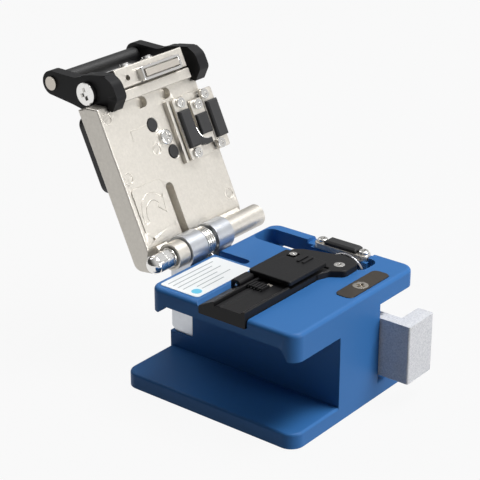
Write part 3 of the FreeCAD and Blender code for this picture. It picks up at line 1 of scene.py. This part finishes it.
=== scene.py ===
"""A metal-bodied optical fibre cleaver with its lid open, on a pale studio floor."""
import json
import math

import bmesh
import bpy
from mathutils import Matrix, Vector


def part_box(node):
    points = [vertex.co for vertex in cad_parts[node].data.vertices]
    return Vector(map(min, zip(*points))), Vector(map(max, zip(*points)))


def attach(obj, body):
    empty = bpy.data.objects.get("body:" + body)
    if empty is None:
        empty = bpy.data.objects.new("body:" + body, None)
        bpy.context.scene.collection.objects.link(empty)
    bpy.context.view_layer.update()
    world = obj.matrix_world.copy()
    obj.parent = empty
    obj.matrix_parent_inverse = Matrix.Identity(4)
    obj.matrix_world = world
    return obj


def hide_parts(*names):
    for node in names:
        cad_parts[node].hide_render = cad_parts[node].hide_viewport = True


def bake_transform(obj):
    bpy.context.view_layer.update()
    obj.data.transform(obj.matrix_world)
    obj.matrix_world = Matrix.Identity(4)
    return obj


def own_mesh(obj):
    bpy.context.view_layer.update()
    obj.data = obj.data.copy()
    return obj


MM = 0.001
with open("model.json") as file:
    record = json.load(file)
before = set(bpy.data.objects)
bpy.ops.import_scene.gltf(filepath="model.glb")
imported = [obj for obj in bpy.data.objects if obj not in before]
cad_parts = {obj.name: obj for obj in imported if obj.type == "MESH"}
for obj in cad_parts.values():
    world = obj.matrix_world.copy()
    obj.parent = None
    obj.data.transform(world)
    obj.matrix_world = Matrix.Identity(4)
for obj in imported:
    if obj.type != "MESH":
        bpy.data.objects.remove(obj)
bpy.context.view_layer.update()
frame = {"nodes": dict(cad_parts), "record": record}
nodes = frame["nodes"]


# ---------------------------------------------------------------- the lid's own frame
hinge = Vector((0, 0.027, 0.0392))
lid_lean = math.radians(25)
lid_up = Vector((0, math.sin(lid_lean), math.cos(lid_lean)))
lid_out = Vector((0, -math.cos(lid_lean), math.sin(lid_lean)))
LID_FRAME = Matrix((
    (1, lid_up.x, lid_out.x, hinge.x),
    (0, lid_up.y, lid_out.y, hinge.y),
    (0, lid_up.z, lid_out.z, hinge.z),
    (0, 0, 0, 1)))
ROW_FRAME = Matrix.Identity(4)

# Places on the lid, in millimetres across, up and out of it.
lid_face = -4.0
panel_face = -3.66
ejector_places = ((-16.0, 45.6), (-0.4, 31.5), (-15.9, 26.4), (23.5, 9.6))
left_clamp_x = 13.7
right_clamp_x = 25.2
clamp_screw_low = 25.8
clamp_screw_high = 42.3
anvil_screw = (20.9, 39.9)


def lid_point(x, up, out):
    """A point given in millimetres across, up and out of the lid."""
    return LID_FRAME @ (Vector((x, up, out)) * MM)


# ---------------------------------------------------------------- materials
def new_material(name):
    material = bpy.data.materials.new(name)
    material.use_nodes = True
    tree = material.node_tree
    shader = tree.nodes["Principled BSDF"]
    return material, tree, shader


def add(tree, kind, **values):
    node = tree.nodes.new(kind)
    for key, value in values.items():
        setattr(node, key, value)
    return node


def textured(name, colour, dark, metallic, rough, rough_swing=0.06, grain=900.0, bump=0.06,
             blotch=60.0, coat=0.0, coat_rough=0.1, specular=0.5, bump_step=0.00005):
    """A finish whose colour wanders between two tones, with a fine grain in its surface."""
    material, tree, shader = new_material(name)
    link = tree.links.new
    place = add(tree, "ShaderNodeTexCoord")
    broad = add(tree, "ShaderNodeTexNoise")
    broad.inputs["Scale"].default_value = blotch
    broad.inputs["Detail"].default_value = 3.0
    fine = add(tree, "ShaderNodeTexNoise")
    fine.inputs["Scale"].default_value = grain
    fine.inputs["Detail"].default_value = 2.0
    mix = add(tree, "ShaderNodeMix", data_type="RGBA")
    mix.inputs["A"].default_value = (*dark, 1)
    mix.inputs["B"].default_value = (*colour, 1)
    swing = add(tree, "ShaderNodeMapRange")
    swing.inputs["To Min"].default_value = max(0.02, rough - rough_swing)
    swing.inputs["To Max"].default_value = rough + rough_swing
    relief = add(tree, "ShaderNodeBump")
    relief.inputs["Strength"].default_value = bump
    relief.inputs["Distance"].default_value = bump_step
    link(place.outputs["Object"], broad.inputs["Vector"])
    link(place.outputs["Object"], fine.inputs["Vector"])
    link(broad.outputs["Fac"], mix.inputs["Factor"])
    link(mix.outputs["Result"], shader.inputs["Base Color"])
    link(fine.outputs["Fac"], swing.inputs["Value"])
    link(swing.outputs["Result"], shader.inputs["Roughness"])
    link(fine.outputs["Fac"], relief.inputs["Height"])
    link(relief.outputs["Normal"], shader.inputs["Normal"])
    shader.inputs["Metallic"].default_value = metallic
    shader.inputs["Specular IOR Level"].default_value = specular
    shader.inputs["Coat Weight"].default_value = coat
    shader.inputs["Coat Roughness"].default_value = coat_rough
    return material


def shade(value, share):
    return tuple(channel * share for channel in value)


BLUE = (0.034, 0.155, 0.415)
NICKEL = (0.70, 0.665, 0.605)
BLACK = (0.012, 0.012, 0.013)

materials = {
    "blue_paint": textured("blue_paint", BLUE, shade(BLUE, 0.93), 0.0, 0.48, 0.04,
                           grain=2600, bump=0.12, blotch=35, specular=0.22),
    "nickel_casting": textured("nickel_casting", NICKEL, shade(NICKEL, 0.80), 0.80, 0.40, 0.10,
                               grain=1300, bump=0.65, blotch=1100),
    "satin_aluminium": textured("satin_aluminium", (0.98, 0.98, 0.99), (0.42, 0.44, 0.48), 0.0,
                                0.70, 0.08, grain=3000, bump=1.0, blotch=2300, specular=0.15,
                                bump_step=0.0001),
    "bright_steel": textured("bright_steel", (0.80, 0.79, 0.76), (0.72, 0.71, 0.68), 1.0, 0.24,
                             0.05, grain=1200, bump=0.04),
    "chrome_screw": textured("chrome_screw", (0.84, 0.83, 0.81), (0.78, 0.77, 0.75), 1.0, 0.16,
                             0.04, grain=1500, bump=0.03),
    "dark_screw": textured("dark_screw", (0.62, 0.58, 0.52), (0.50, 0.46, 0.41), 1.0, 0.22),
    "brown_steel": textured("brown_steel", (0.085, 0.070, 0.055), (0.050, 0.041, 0.033), 0.75,
                            0.40, 0.06, grain=1800, bump=0.10, blotch=160),
    "black_plastic": textured("black_plastic", BLACK, shade(BLACK, 0.7), 0.0, 0.50, 0.06,
                              grain=2600, bump=0.16),
    "black_metal": textured("black_metal", (0.009, 0.009, 0.010), BLACK, 0.0, 0.42, 0.06,
                            grain=2200, bump=0.14, specular=0.18),
    "black_rubber": textured("black_rubber", (0.014, 0.014, 0.014), BLACK, 0.0, 0.72, 0.05,
                             grain=1800, bump=0.18),
    "clamp_rubber": textured("clamp_rubber", (0.016, 0.016, 0.017), BLACK, 0.0, 0.60, 0.05,
                             grain=1800, bump=0.12),
    "magnet": textured("magnet", (0.60, 0.56, 0.50), (0.54, 0.50, 0.45), 0.7, 0.34, 0.05),
    "blade_carbide": textured("blade_carbide", (0.46, 0.46, 0.48), (0.38, 0.38, 0.40), 1.0, 0.28,
                              0.05, grain=1600, bump=0.05),
    "label_film": textured("label_film", (0.90, 0.92, 0.93), (0.87, 0.90, 0.92), 0.0, 0.34, 0.04,
                           bump=0.02, coat=0.3, coat_rough=0.15),
}

slots = {s["node"]: s["material_slot"] for s in frame["record"]["subparts"]}
zinc = textured("zinc_plate", (0.62, 0.64, 0.67), (0.50, 0.52, 0.56), 0.9, 0.34, 0.08,
                grain=1400, bump=0.30, blotch=500)
# Nodes whose look differs from the finish that their slot is named for.
finishes = {"hinge_bracket": zinc}


def plain(name, colour, rough, metallic=0.0):
    return textured(name, colour, shade(colour, 0.93), metallic, rough, 0.03, bump=0.03)


label_grey = plain("label_grey", (0.30, 0.34, 0.37), 0.4)
label_blue = plain("label_blue", (0.10, 0.55, 0.80), 0.4)


def dress_cad_nodes():
    """Each frame node gets its finish and a fine edge break that catches the light."""
    breaks = {"housing": 0.35, "lid_casting": 0.30, "push_plate": 0.20, "grip_pad": 0.20}
    for name, item in nodes.items():
        item.data.materials.clear()
        item.data.materials.append(finishes.get(name, materials[slots[name]]))
        for face in item.data.polygons:
            face.use_smooth = True
        low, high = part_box(name)
        thin = min(high - low)
        width = breaks.get(name, min(0.12, thin / MM * 0.08)) * MM
        weld = item.modifiers.new("weld", "WELD")
        weld.merge_threshold = 0.000002
        edge = item.modifiers.new("edge_break", "BEVEL")
        edge.width = width
        edge.segments = 2
        edge.limit_method = "ANGLE"
        edge.angle_limit = math.radians(38)
        edge.use_clamp_overlap = True
        even = item.modifiers.new("even_normals", "WEIGHTED_NORMAL")
        even.mode = "FACE_AREA"
        even.weight = 60
        even.thresh = 0.01


dress_cad_nodes()


# ---------------------------------------------------------------- building blocks
def finish_mesh(name, mesh, material, body, space=ROW_FRAME, sharp=35):
    """Turns a bmesh, drawn in millimetres, into a piece on a body."""
    data = bpy.data.meshes.new(name)
    bmesh.ops.recalc_face_normals(mesh, faces=mesh.faces)
    mesh.to_mesh(data)
    mesh.free()
    data.transform(Matrix.Scale(MM, 4))
    data.transform(space)
    data.materials.append(material)
    item = bpy.data.objects.new(name, data)
    bpy.context.scene.collection.objects.link(item)
    for face in data.polygons:
        face.use_smooth = True
    data.set_sharp_from_angle(angle=math.radians(sharp))
    if body:
        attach(item, body)
    return item


def slab(mesh, outline, low, high):
    """A closed slab from a flat outline of (x, y) points, between two heights."""
    lower = [mesh.verts.new((x, y, low)) for x, y in outline]
    upper = [mesh.verts.new((x, y, high)) for x, y in outline]
    mesh.faces.new(list(reversed(lower)))
    mesh.faces.new(upper)
    count = len(outline)
    for i in range(count):
        j = (i + 1) % count
        mesh.faces.new((lower[i], lower[j], upper[j], upper[i]))


def rectangle(x0, x1, y0, y1, radius=0.0, steps=5):
    """A rectangle's outline with rounded corners."""
    if radius <= 0:
        return [(x0, y0), (x1, y0), (x1, y1), (x0, y1)]
    points = []
    corners = ((x1 - radius, y1 - radius, 0), (x0 + radius, y1 - radius, 90),
               (x0 + radius, y0 + radius, 180), (x1 - radius, y0 + radius, 270))
    for cx, cy, start in corners:
        for i in range(steps + 1):
            angle = math.radians(start + 90 * i / steps)
            points.append((cx + radius * math.cos(angle), cy + radius * math.sin(angle)))
    return points


def tube(mesh, points, radius, sides=12):
    """A closed round tube that follows a list of points."""
    rings = []
    count = len(points)
    normal = None
    for i in range(count):
        before = points[max(0, i - 1)]
        after = points[min(count - 1, i + 1)]
        along = (after - before).normalized()
        if normal is None:
            normal = along.orthogonal().normalized()
        normal = (normal - along * normal.dot(along)).normalized()
        side = along.cross(normal)
        ring = []
        for k in range(sides):
            angle = 2 * math.pi * k / sides
            offset = normal * math.cos(angle) + side * math.sin(angle)
            ring.append(mesh.verts.new(points[i] + offset * radius))
        rings.append(ring)
    for lower, upper in zip(rings, rings[1:]):
        for k in range(sides):
            j = (k + 1) % sides
            mesh.faces.new((lower[k], lower[j], upper[j], upper[k]))
    mesh.faces.new(list(reversed(rings[0])))
    mesh.faces.new(rings[-1])


def smooth_path(corners, steps=8):
    """A smooth line through a few points."""
    ends = [corners[0]] + list(corners) + [corners[-1]]
    points = []
    for i in range(1, len(ends) - 2):
        p0, p1, p2, p3 = ends[i - 1:i + 3]
        for k in range(steps):
            t = k / steps
            points.append(0.5 * ((2 * p1) + (p2 - p0) * t + (2 * p0 - 5 * p1 + 4 * p2 - p3) * t ** 2
                                 + (3 * p1 - p0 - 3 * p2 + p3) * t ** 3))
    points.append(ends[-2])
    return points


def ring_path(centre, radius, level, steps=28):
    """A closed circle of points, in millimetres."""
    return [Vector((centre[0] + radius * math.cos(2 * math.pi * i / steps),
                    centre[1] + radius * math.sin(2 * math.pi * i / steps), level))
            for i in range(steps + 1)]


# ---------------------------------------------------------------- springs
def hinge_spring():
    """Close-wound wire about the hinge shaft with a leg in each slot."""
    low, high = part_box("torsion_spring")
    wire = 0.38
    reach = 4.2
    axis_y = hinge.y / MM
    axis_z = hinge.z / MM
    start = low.x / MM + wire + 0.05
    end = high.x / MM - wire - 0.05
    turns = 4.2
    steps = 168
    first_turn = math.radians(-62)
    coil = []
    for i in range(steps + 1):
        t = i / steps
        angle = first_turn - 2 * math.pi * turns * t
        coil.append(Vector((start + (end - start) * t, axis_y + reach * math.sin(angle + math.pi),
                            axis_z + reach * math.cos(angle + math.pi))))
    lid_slot = (-0.7, 16.3, -6.4)
    deck_slot = (0.55, 11.8)
    deck_edge = (1.0, 22.2)
    upper_tip = lid_point(*lid_slot) / MM
    upper_bend = lid_point(start + 0.1, 7.2, -6.3) / MM
    slot_low = low.z / MM + wire
    lower_bend = Vector((*deck_edge, slot_low + 0.15))
    lower_tip = Vector((*deck_slot, slot_low + 0.05))
    mesh = bmesh.new()
    tube(mesh, coil, wire, 14)
    tube(mesh, smooth_path([coil[0], upper_bend, upper_tip]), wire, 14)
    tube(mesh, smooth_path([coil[-1], lower_bend, lower_tip]), wire, 14)
    item = finish_mesh("torsion_spring_wire", mesh, materials["bright_steel"], None,
                       sharp=60)
    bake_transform(item)
    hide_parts("torsion_spring")


hinge_spring()


def clamp_springs(node, places):
    """Small coil springs behind a clamp, seated in the lid."""
    seat = -7.4
    top = -2.8
    wire = 0.22
    radius = 1.05
    turns = 4.5
    steps = 90
    end_gap = 0.06
    mesh = bmesh.new()
    for x, up in places:
        coil = []
        for i in range(steps + 1):
            t = i / steps
            angle = 2 * math.pi * turns * t
            coil.append(Vector((x + radius * math.cos(angle), up + radius * math.sin(angle),
                                seat + wire + (top - seat - 2 * wire - end_gap) * t)))
        tube(mesh, coil, wire, 8)
    item = finish_mesh(node + "_wire", mesh, materials["bright_steel"], "lid",
                       LID_FRAME, sharp=60)
    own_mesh(item)
    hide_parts(node)


clamp_springs("left_clamp_springs",
              ((left_clamp_x, clamp_screw_low), (left_clamp_x, clamp_screw_high)))
clamp_springs("right_clamp_springs",
              ((right_clamp_x, clamp_screw_low), (right_clamp_x, clamp_screw_high)))
clamp_springs("anvil_spring", (anvil_screw,))


# ---------------------------------------------------------------- label and marks
def label_print():
    """Plain ruled lines and a round dot stand where the printing is."""
    low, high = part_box("deck_label")
    x0, x1 = low.x / MM, high.x / MM
    y0, y1 = low.y / MM, high.y / MM
    top = high.z / MM
    mesh = bmesh.new()
    rows = 6
    pitch = (y1 - y0 - 3.0) / rows
    for i in range(rows):
        y = y1 - 2.0 - pitch * i
        length = (0.92, 0.80, 0.88, 0.70, 0.84, 0.55)[i]
        start = x0 + (5.6 if i >= rows - 2 else 1.6)
        end = start + (x1 - 1.6 - start) * length
        slab(mesh, rectangle(start, end, y - 0.17, y + 0.17), top, top + 0.02)
    finish_mesh("label_rules", mesh, label_grey, "body")
    mesh = bmesh.new()
    dot = [(v.x, v.y) for v in ring_path((x0 + 3.1, y0 + 2.9), 1.6, top)[:-1]]
    slab(mesh, dot, top, top + 0.03)
    finish_mesh("label_dot", mesh, label_blue, "body")


label_print()


def lid_marks():
    """A raised curved arrow on the lid's panel, the ejectors' rings and a corner mark."""
    centre = (-10.4, 13.2)
    outer = 5.6
    inner = 3.7
    stretch = 1.25
    first, last = math.radians(196), math.radians(38)
    steps = 22
    sweep = [first + (last - first) * i / steps for i in range(steps + 1)]

    def polar(radius, angle):
        return Vector((centre[0] + radius * math.cos(angle),
                       centre[1] + radius * math.sin(angle) * stretch, panel_face))

    outline = [polar(outer, angle) for angle in sweep]
    outline += [polar(outer + 1.2, last), polar((outer + inner) / 2, last - 0.75),
                polar(inner - 1.2, last)]
    outline += [polar(inner, angle) for angle in reversed(sweep)]
    outline.append(outline[0])
    mesh = bmesh.new()
    tube(mesh, outline, 0.17, 8)
    finish_mesh("lid_arrow_relief", mesh, materials["nickel_casting"], "lid",
                LID_FRAME)
    mesh = bmesh.new()
    ridge = 0.12
    for place in ejector_places:
        tube(mesh, ring_path(place, 1.75, lid_face - 0.02), ridge, 8)
    corner = Vector((-8.5, 39.6, lid_face))
    tube(mesh, [corner, Vector((-1.8, 39.6, lid_face))], ridge, 8)
    tube(mesh, [corner, Vector((-8.5, 36.2, lid_face))], ridge, 8)
    finish_mesh("lid_ejector_rings", mesh, materials["nickel_casting"], "lid",
                LID_FRAME)


lid_marks()


def clamp_bridge():
    """A thin black web between the left clamp and the anvil's foot, with a bright edge wire."""
    web_back = -3.2
    web_front = -1.7
    mesh = bmesh.new()
    outline = [(16.9, 33.4), (17.5, 31.2), (18.6, 29.7), (20.2, 28.9), (22.4, 28.8),
               (22.4, 27.2), (19.4, 27.0), (17.6, 27.6), (16.9, 28.4)]
    slab(mesh, outline, web_back, web_front)
    finish_mesh("clamp_bridge_web", mesh, materials["black_plastic"], "lid",
                LID_FRAME)
    mesh = bmesh.new()
    level = web_front - 0.02
    edge = ((16.95, 33.4), (17.55, 31.2), (18.65, 29.7), (20.2, 28.95), (22.3, 28.85))
    path = [Vector((x, up, level)) for x, up in edge]
    tube(mesh, smooth_path(path), 0.14, 8)
    finish_mesh("clamp_bridge_wire", mesh, materials["chrome_screw"], "lid",
                LID_FRAME)


clamp_bridge()


# ---------------------------------------------------------------- camera and light
def camera():
    """The view in the photograph: from the front left, a little above."""
    target = Vector((0.0080, 0.0178, 0.0397))
    distance = 0.5016
    azimuth = math.radians(-51.46)
    elevation = math.radians(23.70)
    back = Vector((math.sin(azimuth) * math.cos(elevation),
                   -math.cos(azimuth) * math.cos(elevation), math.sin(elevation)))
    data = bpy.data.cameras.new("camera")
    data.sensor_width = 36
    data.lens = 121.29
    data.clip_start = 0.01
    data.clip_end = 20
    item = bpy.data.objects.new("camera", data)
    item.location = target + back * distance
    item.rotation_euler = back.to_track_quat("Z", "Y").to_euler()
    bpy.context.scene.collection.objects.link(item)
    bpy.context.scene.camera = item


def area_light(name, place, target, size, power, tall=None, colour=(1, 1, 1)):
    data = bpy.data.lights.new(name, "AREA")
    data.shape = "RECTANGLE"
    data.size = size
    data.size_y = tall or size
    data.energy = power
    data.color = colour
    item = bpy.data.objects.new(name, data)
    item.location = place
    item.rotation_euler = (Vector(place) - Vector(target)).to_track_quat("Z", "Y").to_euler()
    bpy.context.scene.collection.objects.link(item)


def studio():
    world = bpy.data.worlds.new("studio")
    bpy.context.scene.world = world
    world.use_nodes = True
    tree = world.node_tree
    soft = tree.nodes["Background"]
    soft.inputs["Color"].default_value = (1, 1, 1, 1)
    soft.inputs["Strength"].default_value = 0.08
    mirrored = add(tree, "ShaderNodeBackground")
    mirrored.inputs["Color"].default_value = (1, 1, 1, 1)
    compass = add(tree, "ShaderNodeTexCoord")
    facing = add(tree, "ShaderNodeVectorMath", operation="DOT_PRODUCT")
    facing.inputs[1].default_value = (0.50, -0.62, 0.60)
    fall = add(tree, "ShaderNodeMapRange")
    fall.inputs["From Min"].default_value = -0.30
    fall.inputs["From Max"].default_value = 0.50
    fall.inputs["To Min"].default_value = 0.05
    fall.inputs["To Max"].default_value = 0.66
    tree.links.new(compass.outputs["Generated"], facing.inputs[0])
    tree.links.new(facing.outputs["Value"], fall.inputs["Value"])
    tree.links.new(fall.outputs["Result"], mirrored.inputs["Strength"])
    seen = add(tree, "ShaderNodeBackground")
    seen.inputs["Color"].default_value = (1, 1, 1, 1)
    seen.inputs["Strength"].default_value = 1.0
    path = add(tree, "ShaderNodeLightPath")
    inner = add(tree, "ShaderNodeMixShader")
    outer = add(tree, "ShaderNodeMixShader")
    tree.links.new(path.outputs["Is Glossy Ray"], inner.inputs["Fac"])
    tree.links.new(soft.outputs[0], inner.inputs[1])
    tree.links.new(mirrored.outputs[0], inner.inputs[2])
    tree.links.new(path.outputs["Is Camera Ray"], outer.inputs["Fac"])
    tree.links.new(inner.outputs[0], outer.inputs[1])
    tree.links.new(seen.outputs[0], outer.inputs[2])
    tree.links.new(outer.outputs[0], tree.nodes["World Output"].inputs["Surface"])

    mesh = bmesh.new()
    slab(mesh, rectangle(-1500, 1500, -1500, 1500), -2.0, -0.02)
    material, tree, shader = new_material("floor")
    shader.inputs["Base Color"].default_value = (0.22, 0.22, 0.23, 1)
    shader.inputs["Roughness"].default_value = 0.9
    shader.inputs["Specular IOR Level"].default_value = 0.1
    glow = add(tree, "ShaderNodeEmission")
    glow.inputs["Strength"].default_value = 1.0
    mix = add(tree, "ShaderNodeMixShader")
    path = add(tree, "ShaderNodeLightPath")
    share = add(tree, "ShaderNodeMath", operation="MULTIPLY")
    share.inputs[1].default_value = 0.93
    seen = add(tree, "ShaderNodeMath", operation="MAXIMUM")
    tree.links.new(path.outputs["Is Camera Ray"], seen.inputs[0])
    tree.links.new(path.outputs["Is Glossy Ray"], seen.inputs[1])
    tree.links.new(seen.outputs[0], share.inputs[0])
    tree.links.new(share.outputs[0], mix.inputs["Fac"])
    tree.links.new(shader.outputs[0], mix.inputs[1])
    tree.links.new(glow.outputs[0], mix.inputs[2])
    tree.links.new(mix.outputs[0], tree.nodes["Material Output"].inputs["Surface"])
    data = bpy.data.meshes.new("floor")
    mesh.to_mesh(data)
    mesh.free()
    data.transform(Matrix.Scale(MM, 4))
    data.materials.append(material)
    item = bpy.data.objects.new("floor", data)
    bpy.context.scene.collection.objects.link(item)

    middle = (0, 0.01, 0.04)
    area_light("top", (0.32, -0.28, 1.0), middle, 0.45, 11.0)
    area_light("front", (0.30, -1.10, 0.22), middle, 0.5, 7.4)
    area_light("back", (0.10, 0.75, 0.75), middle, 0.5, 2.0)


camera()
studio()
view = bpy.context.scene.view_settings
view.view_transform = "Standard"
